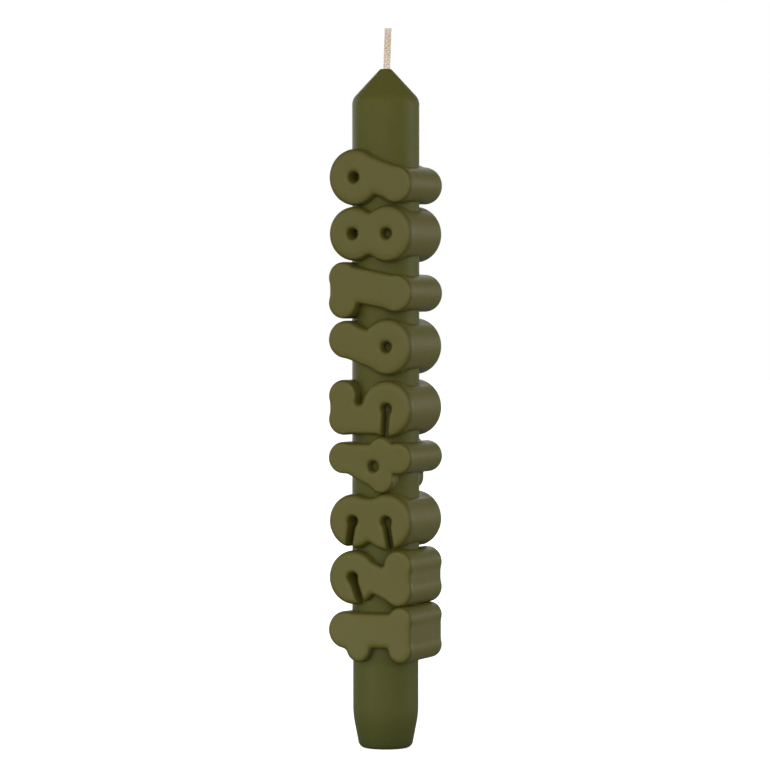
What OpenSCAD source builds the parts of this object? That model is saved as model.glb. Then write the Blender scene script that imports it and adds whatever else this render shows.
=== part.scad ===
// Birthday taper candle: a cast wax taper with a braided wick through its length
// and nine puffy numerals threaded on its shaft, which read upwards from the foot.
// The frame has +Z up along the wick, its origin at the centre of the base,
// and the numerals' faces towards -Y. All sizes are in millimetres.

/* [Taper] */
// Diameter of the straight shaft
shaft_d = 22.4; // [18:0.1:28]
// How much the stretch that a holder grips is set in from the shaft, on each side
grip_inset = 0.3; // [0.1:0.05:1]
// Length of the straight stretch that a holder grips
grip_h = 18; // [10:0.5:40]
// Length of the ease from the gripped stretch out to the shaft
ease_h = 3; // [1:0.1:8]
// How much the base is set in from the gripped stretch, on each side
foot_inset = 2.2; // [0.5:0.1:4]
// Height of the foot, from the base to the gripped stretch
foot_h = 11.2; // [8:0.1:16]
// Rounding of the base's edge
base_round = 1.8; // [0.5:0.1:3]
// Bare shaft between the last numeral and the shoulder
neck_h = 17; // [8:0.5:40]
// Height of the cone, from the shoulder to the flat at the tip
cone_h = 10.1; // [8:0.1:14]
// Rounding of the shoulder between the shaft and the cone
shoulder_round = 3.6; // [1:0.1:6]
// Diameter of the flat at the tip
tip_d = 3.7; // [3:0.1:6]

/* [Wick] */
// Diameter of the braided wick
wick_d = 2.2; // [1.6:0.1:2.6]
// Length of wick that stands out of the tip
wick_out = 13.4; // [8:0.1:25]
// How far the wick's end leans from upright
wick_lean = 0.6; // [0.2:0.1:2]

/* [Numerals] */
// Width of a numeral, along the shaft
numeral_w = 18.4; // [15:0.1:24]
// How far a numeral reaches past the shaft on each side
numeral_reach = 3.8; // [3:0.1:6]
// How far a numeral stands proud of the shaft in front and behind
numeral_proud = 3.4; // [2:0.1:6]
// How much fatter a stroke's round end is than the stroke, on each side
end_bulge = 0.3; // [0.1:0.05:1]
// Width of a numeral's slim strokes
stroke_w = 8.1; // [6:0.1:9]
// Width of a numeral's fat strokes
fat_w = 9.7; // [7:0.1:11]
// Width of the broad stems of the one, six, seven and nine
broad_w = 11.6; // [8:0.1:13]
// How far the waist between two loops is drawn in on each side
waist_in = 2.2; // [1.5:0.1:5]
// Radius of the hole in a loop
counter_r = 1.5; // [0.8:0.1:2.2]
// Width of the slit that opens a loop
slit_w = 1.8; // [1:0.1:2.8]
// Rounding of a numeral's front and back edges
edge_round = 1.6; // [0.5:0.1:2.4]
// Gap between the gripped stretch and the first numeral
grip_gap = 0.5; // [0.2:0.1:5]
// Gap between neighbouring numerals
numeral_gap = 0.3; // [0.1:0.05:2]
// How much smaller a numeral's upper loop is than its lower one
upper_step = 0.4; // [0.2:0.1:1.5]
// Wider gap that parts the lower numerals from the upper ones
group_gap = 2; // [0.5:0.1:8]

/* [Fits] */
// Film of wax between a numeral's bore and the shaft
seat_gap = 0.05; // [0.02:0.01:0.3]
// Room between the wick and its hole
wick_gap = 0.05; // [0.02:0.01:0.2]

/* [Hidden] */
$fn = 64;
wax = "#5f5d38";
cotton = "#dcc9b2";

// Numerals in all, and in the lower group
numerals = 9;
lower_group = 5;

// Diameters of the gripped stretch and of the base, before its edge is rounded
grip_d = shaft_d - 2 * grip_inset;
foot_d = grip_d - 2 * foot_inset;

// Heights up the taper
grip_top = foot_h + grip_h;
first_z = grip_top + grip_gap;
shaft_top = first_z + numerals * numeral_w + (numerals - 2) * numeral_gap + group_gap + neck_h;
body_h = shaft_top + cone_h;

// A numeral's height across the shaft, and its depth through the shaft
numeral_h = shaft_d + 2 * numeral_reach;
numeral_depth = shaft_d + 2 * numeral_proud;

// Outside radii of a lower and an upper loop, and their centres
loop_r = numeral_w / 2;
upper_r = loop_r - upper_step;
lower = [0, loop_r - numeral_h / 2];
upper = [0, numeral_h / 2 - upper_r];

// Radius round a loop's centre that its hole and the hole's flare stay within
clear_r = counter_r + edge_round;

// Step between the edge roundings of a numeral's strokes
edge_step = 0.15;
// Facets in a rounded corner of the taper's outline, and in a numeral's rounded edge
corner_steps = 8;
edge_steps = 2;
// Longer than any cut has to be
through = 2 * body_h;

// Radius of the round end of a stroke of width w
function end_r(w) = w / 2 + end_bulge;

// Centre height of numeral k
function numeral_z(k) =
    first_z + (k - 0.5) * numeral_w
    + (k - 1) * numeral_gap
    + (k > lower_group ? group_gap - numeral_gap : 0);

// Where a round end of a stroke of width w goes: (-1, -1) is a numeral's lower left, (1, 1) its upper right
function at(x, y, w = fat_w) = [x * (numeral_w / 2 - end_r(w)), y * (numeral_h / 2 - end_r(w))];

// A point on a circle
function on_circle(centre, r, angle) = centre + r * [cos(angle), sin(angle)];

// Where the line from a to b has passed a loop's centre and is clear of its hole
function past_hole(centre, a, b) =
    let (along = (b - a) / norm(b - a))
    a + along * (clear_r - (a - centre) * along);

// The corner at b between a and c, rounded to radius r, as points along its arc
function rounded(a, b, c, r, steps) =
    let (
        to_a = (a - b) / norm(a - b),
        to_c = (c - b) / norm(c - b),
        half = acos(to_a * to_c) / 2,
        middle = (to_a + to_c) / norm(to_a + to_c),
        centre = b + middle * r / sin(half),
        start = b + to_a * r / tan(half) - centre,
        finish = b + to_c * r / tan(half) - centre,
        from = atan2(start.y, start.x),
        turn = atan2(start.x * finish.y - start.y * finish.x, start * finish)
    )
    [for (i = [0:steps]) on_circle(centre, r, from + turn * i / steps)];

// The taper: a lathe outline of foot, grip, shaft and cone, with the wick's hole through it
module taper() {
    base = [foot_d / 2, 0];
    foot_top = [grip_d / 2, foot_h];
    ease_top = [shaft_d / 2, grip_top + ease_h];
    shoulder = [shaft_d / 2, shaft_top];
    tip = [tip_d / 2, body_h];
    color(wax) difference() {
        rotate_extrude() polygon(concat(
            [[0, 0]],
            rounded([0, 0], base, foot_top, base_round, corner_steps),
            [foot_top, [grip_d / 2, grip_top], ease_top],
            rounded(ease_top, shoulder, tip, shoulder_round, corner_steps),
            [tip, [0, body_h]]
        ));
        cylinder(d = wick_d + 2 * wick_gap, h = through, center = true);
    }
}

// The wick: straight through the wax, then leaning over as one gentle arc
module wick() {
    bend_r = (wick_out * wick_out + wick_lean * wick_lean) / (2 * wick_lean);
    bend = asin(wick_out / bend_r);
    color(cotton) {
        cylinder(d = wick_d, h = body_h);
        translate([bend_r, 0, body_h]) rotate([-90, 0, 0]) rotate([0, 0, 180])
            rotate_extrude(angle = bend) translate([bend_r, 0]) circle(d = wick_d);
    }
}

// Right-hand half of the section of a stroke that is x wide on each side, with its edges rounded.
// Strokes that cross differ in k, so that their edges cross at plain corners and never run together.
function stroke(x, k) =
    let (
        y = numeral_depth / 2,
        r = edge_round + k * edge_step
    )
    concat(
        rounded([0, -y], [x, -y], [x, y], r, edge_steps),
        rounded([x, -y], [x, y], [0, y], r, edge_steps)
    );

// Right-hand half of the section of a cut that is x wide on each side, and flares at the front and back
function cut(x, k) =
    let (
        y = numeral_depth / 2,
        flare = (edge_round + k * edge_step) * [[0, -1], [0.3, -0.3], [1.3, 0.7]]
    )
    concat(
        [for (i = [2:-1:0]) [x + flare[i].x, -y - flare[i].y]],
        [for (i = [0:2]) [x + flare[i].x, y + flare[i].y]]
    );

// A half section run straight from a to b, with its mirror image
module run(a, b, half) {
    step = b - a;
    mirrored = [for (i = [len(half) - 1:-1:0]) [-half[i].x, half[i].y]];
    translate([a.x, a.y]) rotate(atan2(step.y, step.x))
        rotate([90, 0, 90]) linear_extrude(norm(step)) polygon(concat(half, mirrored));
}

// A half section turned about a centre
module turned(centre, half) {
    closed = concat([[0, half[0].y]], half, [[0, half[len(half) - 1].y]]);
    translate([centre.x, centre.y]) rotate_extrude() polygon(closed);
}

// Straight stroke of width w
module bar(a, b, w = fat_w, k = 0) {
    run(a, b, stroke(w / 2, k));
}

// Round end of a stroke of width w
module knob(p, w = fat_w, k = -3) {
    turned(p, stroke(end_r(w), k));
}

// Straight stroke with a round end at each end
module limb(a, b, w = fat_w, k = 0) {
    bar(a, b, w, k);
    knob(a, w);
    knob(b, w);
}

// Round slab with the hole of a loop still to be cut
module disc(centre, r, k = 2) {
    turned(centre, stroke(r, k));
}

// Hole through the middle of a loop
module counter(centre) {
    turned(centre, cut(counter_r, 0));
}

// Slit that opens a loop at the given angle, with the loop's hole at its inner end
module slit(centre, angle) {
    run(centre, on_circle(centre, numeral_w, angle), cut(slit_w / 2, -2));
    counter(centre);
}

// Two loops one above the other, joined by a waist that may stand to one side
module two_loops(aside = 0) {
    disc(lower, loop_r);
    disc(upper, upper_r, 3);
    bar(lower + [aside, clear_r], upper + [aside, -clear_r], numeral_w - 2 * waist_in);
}

// The six, whose half turn is the nine: a loop with a tail that starts inside it, clear of its hole
module loop_and_tail() {
    top = at(0.75, 1, broad_w);
    difference() {
        union() {
            disc(lower, loop_r);
            bar(past_hole(lower, lower + at(-0.95, 0, broad_w), top), top, broad_w);
            knob(top, broad_w);
        }
        counter(lower);
    }
}

// Numeral k stood in its place up the shaft, with its bore cut to the shaft
module threaded(k) {
    color(wax) difference() {
        translate([0, 0, numeral_z(k)]) rotate([90, 0, 0]) rotate(90) children();
        cylinder(d = shaft_d + 2 * seat_gap, h = through, center = true);
    }
}

module numeral_1() {
    top = at(0.4, 1, broad_w);
    flag = at(-1, 0.4, stroke_w);
    left = at(-1, -1, stroke_w);
    right = at(1, -1, stroke_w);
    threaded(1) {
        bar([top.x, left.y], top, broad_w);
        knob(top, broad_w, -4);
        bar(top, flag, stroke_w, -1);
        knob(flag, stroke_w);
        limb(left, right, stroke_w, -2);
    }
}

module numeral_2() {
    threaded(2) difference() {
        union() {
            disc(upper, upper_r);
            bar(past_hole(upper, upper + at(0.8, 0), at(-1, -1)), at(-1, -1), k = -1);
            limb(at(-1, -1), at(1, -1));
        }
        slit(upper, 200);
    }
}

module numeral_3() {
    threaded(3) difference() {
        two_loops(0.8);
        slit(upper, 170);
        slit(lower, 190);
    }
}

module numeral_4() {
    top = at(0.55, 1);
    foot = at(0.55, -1);
    left = at(-0.95, -0.36, stroke_w);
    right = at(1, -0.36, stroke_w);
    corner = [top.x, left.y];
    legs = [corner.x - left.x, top.y - corner.y];
    inset = (legs.x + legs.y - norm(legs)) / 2;
    threaded(4) difference() {
        union() {
            bar(top, foot);
            knob(top, fat_w, -4);
            knob(foot, fat_w, -4);
            bar(top, left, stroke_w, -1);
            knob(left, stroke_w + 0.4);
            bar(left + [0.7, 0], right, stroke_w, -2);
            knob(right, stroke_w);
        }
        counter([corner.x - inset, corner.y + inset]);
    }
}

module numeral_5() {
    threaded(5) difference() {
        union() {
            limb(at(-0.85, 1), at(1, 1));
            bar(at(-0.85, 1), [at(-0.85, 1).x, lower.y + clear_r], k = -1);
            disc(lower, loop_r);
        }
        slit(lower, 176);
    }
}

module numeral_6() {
    threaded(6) loop_and_tail();
}

module numeral_7() {
    foot = at(-0.3, -1, broad_w);
    threaded(7) {
        limb(at(-1, 1), at(1, 1));
        bar(at(0.6, 0.9), foot, broad_w, -1);
        knob(foot, broad_w, -4);
    }
}

module numeral_8() {
    threaded(8) difference() {
        two_loops();
        counter(lower);
        counter(upper);
    }
}

module numeral_9() {
    threaded(9) rotate(180) loop_and_tail();
}

taper();
wick();
numeral_1();
numeral_2();
numeral_3();
numeral_4();
numeral_5();
numeral_6();
numeral_7();
numeral_8();
numeral_9();
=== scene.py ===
# Birthday taper candle: a cast wax taper, its braided cotton wick and nine puffy numerals round the shaft.
# In metres, with +Z up along the wick, the numerals' faces towards -Y and the base on the floor at z = 0.
import math

import bmesh
import bpy
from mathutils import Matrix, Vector


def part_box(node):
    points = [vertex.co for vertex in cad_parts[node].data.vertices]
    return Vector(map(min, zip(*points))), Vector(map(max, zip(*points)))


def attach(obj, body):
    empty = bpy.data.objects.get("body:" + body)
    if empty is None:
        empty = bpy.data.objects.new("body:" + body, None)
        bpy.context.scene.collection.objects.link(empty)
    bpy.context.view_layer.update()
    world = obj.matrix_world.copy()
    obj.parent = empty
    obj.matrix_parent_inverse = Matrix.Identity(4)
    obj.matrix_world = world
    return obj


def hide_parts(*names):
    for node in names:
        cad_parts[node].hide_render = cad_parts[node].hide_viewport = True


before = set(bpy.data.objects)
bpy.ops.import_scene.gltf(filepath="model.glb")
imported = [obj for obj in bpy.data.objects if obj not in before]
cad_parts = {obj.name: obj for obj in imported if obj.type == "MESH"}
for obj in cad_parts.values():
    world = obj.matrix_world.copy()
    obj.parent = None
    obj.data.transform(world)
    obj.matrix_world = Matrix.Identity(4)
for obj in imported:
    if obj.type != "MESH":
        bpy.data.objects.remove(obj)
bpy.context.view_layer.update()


# Wax taper
# A taper of dyed paraffin, cast in a smooth mould with its tip down, and drawn out once it was hard.
# The foot narrows so that it seats in a holder's cup, and the wick's hole runs from base to tip.
MM = 0.001
shaft_r = 11.2 * MM
grip_r = 10.9 * MM
foot_r = 8.7 * MM
tip_r = 1.85 * MM
hole_r = 0.95 * MM
foot_top_z = 11.2 * MM
grip_top_z = 29.2 * MM
ease_top_z = 32.2 * MM
shoulder_z = 216.4 * MM
tip_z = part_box("taper")[1].z
base_rounding = 1.9 * MM
foot_rounding = 2.6 * MM
ease_rounding = 1.4 * MM
shoulder_rounding = 1.6 * MM
tip_rounding = 0.35 * MM
base_hole_rounding = 0.15 * MM
tip_hole_rounding = 0.12 * MM
rounding_steps = 10
turn_steps = 192
long_side = 12.0 * MM
ring_gap = 5.0 * MM
merge_gap = 1e-7

taper_green = (0.091, 0.097, 0.0240, 1.0)
taper_brown = (0.117, 0.111, 0.0205, 1.0)
# Painted shade: the foot's deeper olive darkens the foot, as if little light reached it from below.
foot_shade_olive = (0.068, 0.077, 0.0165, 1.0)
# Painted shade: the rolled edges' deeper olive darkens the band where a numeral's face rolls into its
# walls.
edge_shade_olive = (0.072, 0.063, 0.0115, 1.0)
satin = 0.36


class Shade:
    """A socket of a node tree, with Python's operators standing for Math nodes."""

    def __init__(self, tree, socket):
        self.tree = tree
        self.socket = socket

    def node(self, kind, settings=None, out=0, **inputs):
        """A new node of a kind: its settings first, then its sockets, by name or as n0, n1 by number."""
        made = self.tree.nodes.new(kind)
        for name, value in (settings or {}).items():
            if name == "stops":
                ramp = made.color_ramp
                while len(ramp.elements) < len(value):
                    ramp.elements.new(1.0)
                for element, (place, colour) in zip(ramp.elements, value):
                    element.position = place
                    element.color = colour
            else:
                setattr(made, name, value)
        for name, value in inputs.items():
            numbered = name[0] == "n" and name[1:].isdigit()
            key = int(name[1:]) if numbered else name.replace("_", " ")
            if isinstance(value, Shade):
                self.tree.links.new(value.socket, made.inputs[key])
            else:
                made.inputs[key].default_value = value
        return Shade(self.tree, made.outputs[out])

    def maths(self, operation, a, b):
        return self.node("ShaderNodeMath", {"operation": operation}, n0=a, n1=b)

    def __add__(self, other):
        return self.maths("ADD", self, other)

    def __radd__(self, other):
        return self.maths("ADD", other, self)

    def __sub__(self, other):
        return self.maths("SUBTRACT", self, other)

    def __rsub__(self, other):
        return self.maths("SUBTRACT", other, self)

    def __mul__(self, other):
        return self.maths("MULTIPLY", self, other)

    def __rmul__(self, other):
        return self.maths("MULTIPLY", other, self)

    def mixed(self, low, high):
        """The colour between low and high that this value picks."""
        return self.node("ShaderNodeMix", {"data_type": "RGBA"}, 2, n0=self, n6=low, n7=high)


def new_finish(name, **constants):
    """A material with one Principled shader, its constant sockets set, and its Object coordinates."""
    finish = bpy.data.materials.new(name)
    finish.use_nodes = True
    tree = finish.node_tree
    shader = tree.nodes["Principled BSDF"]
    for socket, value in constants.items():
        shader.inputs[socket.replace("_", " ")].default_value = value
    place = Shade(tree, tree.nodes.new("ShaderNodeTexCoord").outputs["Object"])
    return finish, shader, place


def feed(shader, socket, value):
    """Links a value into one of a shader's sockets."""
    value.tree.links.new(value.socket, shader.inputs[socket])


def wax_finish(name, green_olive, brown_olive, gloss):
    """Dyed wax: two olives that drift, browner towards the tip, with painted shade deepening the foot and
    the rolled edges.

    The skin is satin, with a poured ripple, faint upright streaks, a fine grain and small bubble pits.
    """
    finish, shader, at = new_finish(
        name, IOR=1.45, Specular_IOR_Level=gloss,
        Subsurface_Weight=0.08, Subsurface_Radius=(1.0, 0.95, 0.6), Subsurface_Scale=0.8 * MM,
    )
    clouds = at.node("ShaderNodeTexNoise", Vector=at, Scale=70.0, Detail=3.0, Roughness=0.5)
    drift = at.node("ShaderNodeTexNoise", Vector=at, Scale=22.0, Detail=2.0, Roughness=0.45)
    ripple = at.node("ShaderNodeTexNoise", Vector=at, Scale=260.0, Detail=3.0, Roughness=0.5)
    grain = at.node("ShaderNodeTexNoise", Vector=at, Scale=2600.0, Detail=2.0, Roughness=0.6)
    drawn = at.node("ShaderNodeMapping", Vector=at, Scale=(1.0, 1.0, 0.06))
    streaks = at.node("ShaderNodeTexNoise", Vector=drawn, Scale=420.0, Detail=3.0, Roughness=0.55)
    bubble = at.node("ShaderNodeTexVoronoi", Vector=at, Scale=230.0)
    pit = at.node("ShaderNodeMapRange", Value=bubble, From_Min=0.05, From_Max=0.11)
    height = at.node("ShaderNodeSeparateXYZ", out=2, Vector=at)
    # Painted shade: the foot is darkened towards a deeper olive.
    foot_shade = at.node(
        "ShaderNodeMapRange", Value=height, From_Min=1.2 * foot_top_z, From_Max=0.2 * foot_top_z
    )
    rise = height * (1.0 / tip_z)
    mottle = ripple * 0.5 + clouds * 0.7 + drift * 0.6 - 0.65
    olive = (mottle * 0.8 + rise * 0.5).mixed(green_olive, brown_olive)
    # Painted shade: the numerals' rolled edges are darkened towards a deeper olive.
    rolled = at.node("ShaderNodeAttribute", {"attribute_name": "rolled"}, out=2)
    edge_shaded = (rolled * 0.7).mixed(olive, edge_shade_olive)
    feed(shader, "Base Color", foot_shade.mixed(edge_shaded, foot_shade_olive))
    feed(shader, "Roughness", satin + streaks * 0.06 + clouds * 0.10)
    relief = ripple * 0.55 + streaks * 0.08 + grain * 0.12 + pit * 0.35
    feed(shader, "Normal", at.node("ShaderNodeBump", Strength=0.6, Distance=0.3 * MM, Height=relief))
    return finish


taper_wax = wax_finish("taper_wax", taper_green, taper_brown, gloss=0.12)


def wire(bm, corners):
    """A closed wire in the XZ plane from (x, z, rounding) corners, each cut back that far and rounded."""
    points = [bm.verts.new((x, 0.0, z)) for x, z, _ in corners]
    for a, b in zip(points, points[1:] + points[:1]):
        bm.edges.new((a, b))
    for point, (_, _, rounding) in zip(points, corners):
        bmesh.ops.bevel(
            bm, geom=[point], offset=rounding, segments=rounding_steps, profile=0.5,
            affect="VERTICES", material=-1,
        )


def meshed(bm, name):
    """A mesh made of a bmesh, which is used up."""
    mesh = bpy.data.meshes.new(name)
    bm.to_mesh(mesh)
    bm.free()
    return mesh


def placed(name, data):
    """An object made of its data and put in the scene, at the origin."""
    thing = bpy.data.objects.new(name, data)
    bpy.context.collection.objects.link(thing)
    return thing


def finished(bm, name, material, node):
    """A piece made of a bmesh, smooth shaded, in a node's stead and riding on the candle's one body."""
    mesh = meshed(bm, name)
    for face in mesh.polygons:
        face.use_smooth = True
    mesh.materials.append(material)
    piece = placed(name, mesh)
    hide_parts(node)
    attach(piece, "root")
    return piece


bm = bmesh.new()
wire(bm, [
    (hole_r, 0.0, base_hole_rounding),
    (foot_r, 0.0, base_rounding),
    (grip_r, foot_top_z, foot_rounding),
    (grip_r, grip_top_z, ease_rounding),
    (shaft_r, ease_top_z, ease_rounding),
    (shaft_r, shoulder_z, shoulder_rounding),
    (tip_r, tip_z, tip_rounding),
    (hole_r, tip_z, tip_hole_rounding),
])
for edge in [e for e in bm.edges if e.calc_length() > long_side]:
    bmesh.ops.subdivide_edges(bm, edges=[edge], cuts=int(edge.calc_length() / ring_gap))
bmesh.ops.spin(
    bm, geom=bm.verts[:] + bm.edges[:], cent=(0, 0, 0), axis=(0, 0, 1),
    angle=math.tau, steps=turn_steps, use_merge=True,
)
bmesh.ops.remove_doubles(bm, verts=bm.verts[:], dist=merge_gap)
bmesh.ops.recalc_face_normals(bm, faces=bm.faces[:])
finished(bm, "wax_taper", taper_wax, "taper")


# Braided wick
# Eight soft cotton yarns braided round a straight core, cast in the middle of the taper all along it.
# A short stub stands out of the tip, leaning a little to one side, and its cut end has begun to fray.
yarn_r = 0.34 * MM
core_r = 0.70 * MM
braid_r = 0.76 * MM
braid_wave = 0.12 * MM
braid_turn = 6.2 * MM
yarns_each_way = 4
points_per_turn = 48
wick_top_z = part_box("wick")[1].z - 0.15 * MM
wick_lean = 0.85 * MM
bend_z = tip_z - 9.0 * MM
core_base_z = 0.1 * MM
core_top_z = wick_top_z - 0.2 * MM
core_step = 1.0 * MM
cut_yarns = (0.25 * MM, 3.0 * MM)
stub_yarns = (tip_z - 2.5 * MM, wick_top_z)
fray_length = 1.2 * MM
fray_spread = 0.1 * MM

bleached = (0.97, 0.91, 0.82, 1.0)
cream = (0.96, 0.825, 0.655, 1.0)
tan = (0.63, 0.44, 0.275, 1.0)

cotton, cotton_shader, at = new_finish("wick_cotton", Roughness=0.9, Sheen_Weight=0.3, Sheen_Roughness=0.5)
fleck = at.node("ShaderNodeTexNoise", Vector=at, Scale=900.0, Detail=3.0, Roughness=0.6)
fibre = at.node("ShaderNodeTexNoise", Vector=at, Scale=5200.0, Detail=3.0, Roughness=0.7)
band = at.node("ShaderNodeTexNoise", Vector=at, Scale=130.0, Detail=1.0)
height = at.node("ShaderNodeSeparateXYZ", out=2, Vector=at)
up_stub = (height - tip_z) * (1.0 / (wick_top_z - tip_z))
pale = at.node(
    "ShaderNodeValToRGB",
    {"stops": [(0.02, bleached), (0.28, cream), (0.72, cream), (0.95, bleached)]},
    Fac=up_stub,
)
feed(cotton_shader, "Base Color", (fleck * 1.2 + band * 0.8 - 0.2).mixed(tan, pale))
feed(cotton_shader, "Normal", at.node("ShaderNodeBump", Strength=0.5, Distance=0.05 * MM, Height=fibre))


def wick_middle(z):
    """The wick's middle at a height: upright in the wax, leaning towards +X from a little below the tip."""
    leaning = max(0.0, z - bend_z) / (wick_top_z - bend_z)
    return Vector((wick_lean * leaning, 0.0, z))


def heights(low, high, step):
    """Even heights from low to high, about a step apart."""
    count = max(2, round((high - low) / step))
    return [low + (high - low) * i / count for i in range(count + 1)]


def yarn(curve, points, r):
    """A yarn of radius r along points, as one more spline of the curve."""
    spline = curve.splines.new("POLY")
    spline.points.add(len(points) - 1)
    for place, point in zip(spline.points, points):
        place.co = (*point, 1.0)
        place.radius = r / yarn_r
    spline.use_smooth = True


# The core runs all the way, and the yarns are laid where they can be seen, at the base and in the stub.
braid = bpy.data.curves.new("braided_wick", "CURVE")
braid.dimensions = "3D"
braid.bevel_depth = yarn_r
braid.bevel_resolution = 2
braid.use_fill_caps = True
yarn(braid, [wick_middle(z) for z in (core_base_z, *heights(bend_z, core_top_z, core_step))], core_r)
for low, high in (cut_yarns, stub_yarns):
    for way in (1, -1):
        for i in range(yarns_each_way):
            points = []
            for z in heights(low, high, braid_turn / points_per_turn):
                phase = math.tau * z / braid_turn
                angle = way * phase + i * math.tau / yarns_each_way
                fray = max(0.0, z - wick_top_z + fray_length) / fray_length
                weave = way * braid_wave * math.cos(yarns_each_way * phase)
                r = braid_r + weave + fray_spread * fray * fray
                points.append(wick_middle(z) + Vector((r * math.cos(angle), r * math.sin(angle), 0.0)))
            yarn(braid, points, yarn_r)
braid_curve = placed("braid_curve", braid)
bpy.context.view_layer.update()
bm = bmesh.new()
bm.from_mesh(braid_curve.to_mesh())
bpy.data.objects.remove(braid_curve)
finished(bm, "braided_wick", cotton, "wick")


# Puffy numerals
# Nine fat numerals of the same wax, cast in one with the shaft, with flat faces and soft rolled edges.
# They read upwards from the foot, each one just meets the next, and a wider gap follows the fifth.
bore_r = shaft_r + 0.05 * MM
bore_slack = 0.02 * MM
root_r = shaft_r - 0.9 * MM
fuse = 0.22 * MM
node_merge_gap = 2e-6
voxel = 0.40 * MM
soften_rounds = 8
roll_middle = 0.5
roll_spread = 0.4

# The numerals' olives are paler and yellower than the taper's, and their wax is glossier.
numeral_green = (0.118, 0.111, 0.0175, 1.0)
numeral_brown = (0.130, 0.112, 0.0185, 1.0)
numeral_wax = wax_finish("numeral_wax", numeral_green, numeral_brown, gloss=0.36)


def softened(node):
    """A node's shape as cast wax: sunk into the shaft, cut into even faces and its edges worn round."""
    bm = bmesh.new()
    bm.from_mesh(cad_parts[node].data)
    bmesh.ops.remove_doubles(bm, verts=bm.verts[:], dist=node_merge_gap)
    for v in bm.verts:
        r = math.hypot(v.co.x, v.co.y)
        if r < bore_r + bore_slack:
            v.co.x *= root_r / r
            v.co.y *= root_r / r
    rough = placed(node + "_cast", meshed(bm, node))
    cut = rough.modifiers.new("cut", "REMESH")
    cut.mode = "VOXEL"
    cut.voxel_size = voxel
    bm = bmesh.new()
    bm.from_object(rough, bpy.context.evaluated_depsgraph_get())
    bpy.data.objects.remove(rough)
    for _ in range(soften_rounds):
        bmesh.ops.smooth_vert(
            bm, verts=bm.verts[:], factor=0.5, use_axis_x=True, use_axis_y=True, use_axis_z=True
        )
    return bm


# Softening shrinks a numeral, so it is stretched to its node's height and a little more, to meet the next.
# A point's normal leans from 0 on the side walls to 1 on the flat faces, and rolled edges lie between,
# where the wax is painted darker as a painted shade.
for digit in range(1, 10):
    node = "numeral_%d" % digit
    low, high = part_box(node)
    bm = softened(node)
    bottom = min(v.co.z for v in bm.verts)
    top = max(v.co.z for v in bm.verts)
    stretch = (high.z - low.z + 2 * fuse) / (top - bottom)
    middle = (low.z + high.z) / 2
    for v in bm.verts:
        v.co.z = middle + (v.co.z - (bottom + top) / 2) * stretch
    bm.normal_update()
    roll_shades = [max(0.0, 1.0 - ((abs(v.normal.y) - roll_middle) / roll_spread) ** 2) for v in bm.verts]
    numeral = finished(bm, "wax_" + node, numeral_wax, node)
    rolled = numeral.data.attributes.new("rolled", "FLOAT", "POINT")
    rolled.data.foreach_set("value", roll_shades)


# Studio
# A white floor that runs out of sight and a grey surround, paler behind the candle and dark above there.
# The camera sees both as plain white. Six large soft boxes stand round the candle, and a small one low.
floor_r = 6.0
floor_sides = 96
floor_glow = 0.12
eye_azimuth = math.radians(22.0)
eye_distance = 1.277
eye_height = 0.149
eye_lens = 178.9
eye_sensor = 36.0
aim_height = 0.1212
aim_left = 0.25 * MM


def grey(level):
    return (level, level, level, 1.0)


bm = bmesh.new()
bmesh.ops.create_circle(bm, cap_ends=True, segments=floor_sides, radius=floor_r)
floor = placed("floor", meshed(bm, "floor"))
paper, paper_shader, at = new_finish("white_paper", Roughness=0.9, Emission_Strength=1.0)
seen = at.node("ShaderNodeLightPath", out=0)
outward = at.node("ShaderNodeVectorMath", {"operation": "LENGTH"}, out=1, n0=at)
glow = floor_glow + seen * (0.68 + outward * 0.2)
feed(paper_shader, "Base Color", seen.mixed(grey(0.1), grey(0.8)))
feed(paper_shader, "Emission Color", glow.mixed(grey(0.0), grey(1.0)))
floor.data.materials.append(paper)

world = bpy.data.worlds.new("surround")
world.use_nodes = True
bpy.context.scene.world = world
sky = world.node_tree
ahead = Shade(sky, sky.nodes.new("ShaderNodeTexCoord").outputs["Generated"])
seen = ahead.node("ShaderNodeLightPath", out=0)
behind = (-math.sin(eye_azimuth), math.cos(eye_azimuth), 0.0)
facing = ahead.node("ShaderNodeVectorMath", {"operation": "DOT_PRODUCT"}, out=1, n0=ahead, n1=behind)
rise = ahead.node("ShaderNodeSeparateXYZ", out=2, Vector=ahead)


def greys(fac, *stops):
    """A ramp of greys from (place, level) stops."""
    shades = [(place, grey(level)) for place, level in stops]
    return ahead.node("ShaderNodeValToRGB", {"stops": shades}, Fac=fac)


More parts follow.
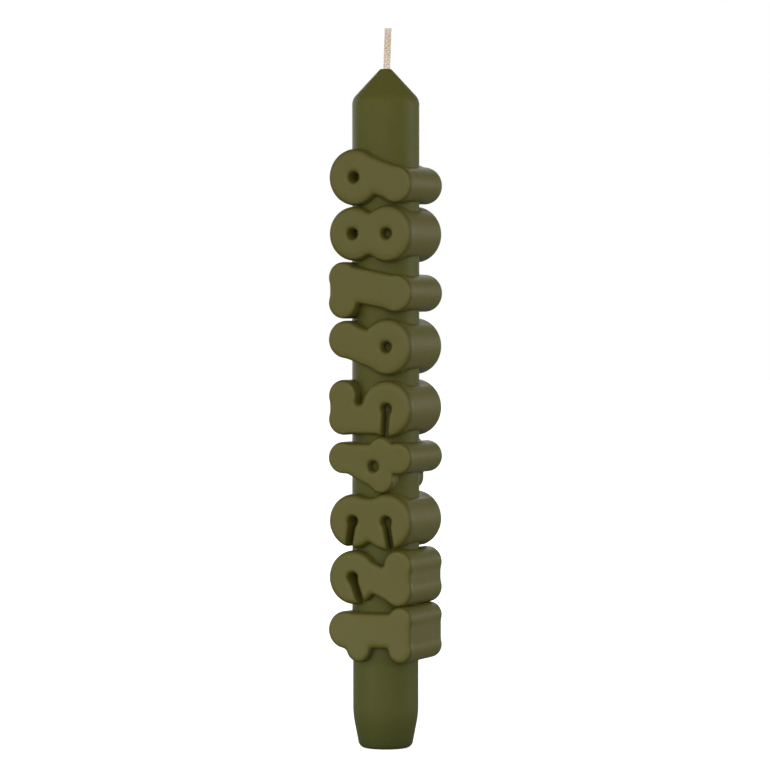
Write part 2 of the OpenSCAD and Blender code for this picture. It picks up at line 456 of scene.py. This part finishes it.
walls = greys(facing * 0.5 + 0.5, (0.0, 0.54), (0.45, 0.48), (0.66, 0.50), (0.84, 0.64))
ceiling = greys(rise * (facing + 0.6), (0.06, 1.0), (0.40, 0.25))
feed(sky.nodes["Background"], "Color", seen.mixed(walls * ceiling, grey(1.0)))


def soft_box(name, azimuth, elevation, distance, size, power):
    """A soft light that faces the middle of the candle. Azimuth 0 is straight in front of the numerals."""
    a = math.radians(azimuth)
    e = math.radians(elevation)
    back = Vector((math.sin(a) * math.cos(e), -math.cos(a) * math.cos(e), math.sin(e)))
    lamp = bpy.data.lights.new(name, "AREA")
    lamp.shape = "RECTANGLE"
    lamp.size, lamp.size_y = size
    lamp.energy = power
    light = placed(name, lamp)
    light.location = Vector((0.0, 0.0, aim_height)) + back * distance
    light.rotation_mode = "QUATERNION"
    light.rotation_quaternion = back.to_track_quat("Z", "Y")
    light.visible_camera = False


soft_box("front_left", azimuth=-45.0, elevation=4.0, distance=1.2, size=(1.0, 1.0), power=3.6)
soft_box("front", azimuth=8.0, elevation=4.0, distance=1.2, size=(1.0, 1.0), power=5.1)
soft_box("front_right", azimuth=38.0, elevation=4.0, distance=1.2, size=(1.0, 1.0), power=2.2)
soft_box("right", azimuth=117.0, elevation=2.0, distance=1.1, size=(0.8, 0.8), power=5.6)
soft_box("left_back", azimuth=-118.0, elevation=8.0, distance=1.1, size=(0.8, 0.8), power=2.4)
soft_box("back", azimuth=202.0, elevation=8.0, distance=1.2, size=(0.8, 0.8), power=3.2)
soft_box("low_card", azimuth=-27.0, elevation=-36.0, distance=0.186, size=(0.10, 0.020), power=0.030)

eye = placed("camera", bpy.data.cameras.new("camera"))
right = Vector((math.cos(eye_azimuth), math.sin(eye_azimuth), 0.0))
towards_eye = Vector((math.sin(eye_azimuth), -math.cos(eye_azimuth), 0.0))
eye.location = towards_eye * eye_distance + Vector((0.0, 0.0, eye_height))
aim = Vector((0.0, 0.0, aim_height)) - right * aim_left - eye.location
eye.rotation_mode = "QUATERNION"
eye.rotation_quaternion = aim.to_track_quat("-Z", "Y")
eye.data.lens = eye_lens
eye.data.sensor_width = eye_sensor
bpy.context.scene.camera = eye
bpy.context.scene.view_settings.view_transform = "Standard"
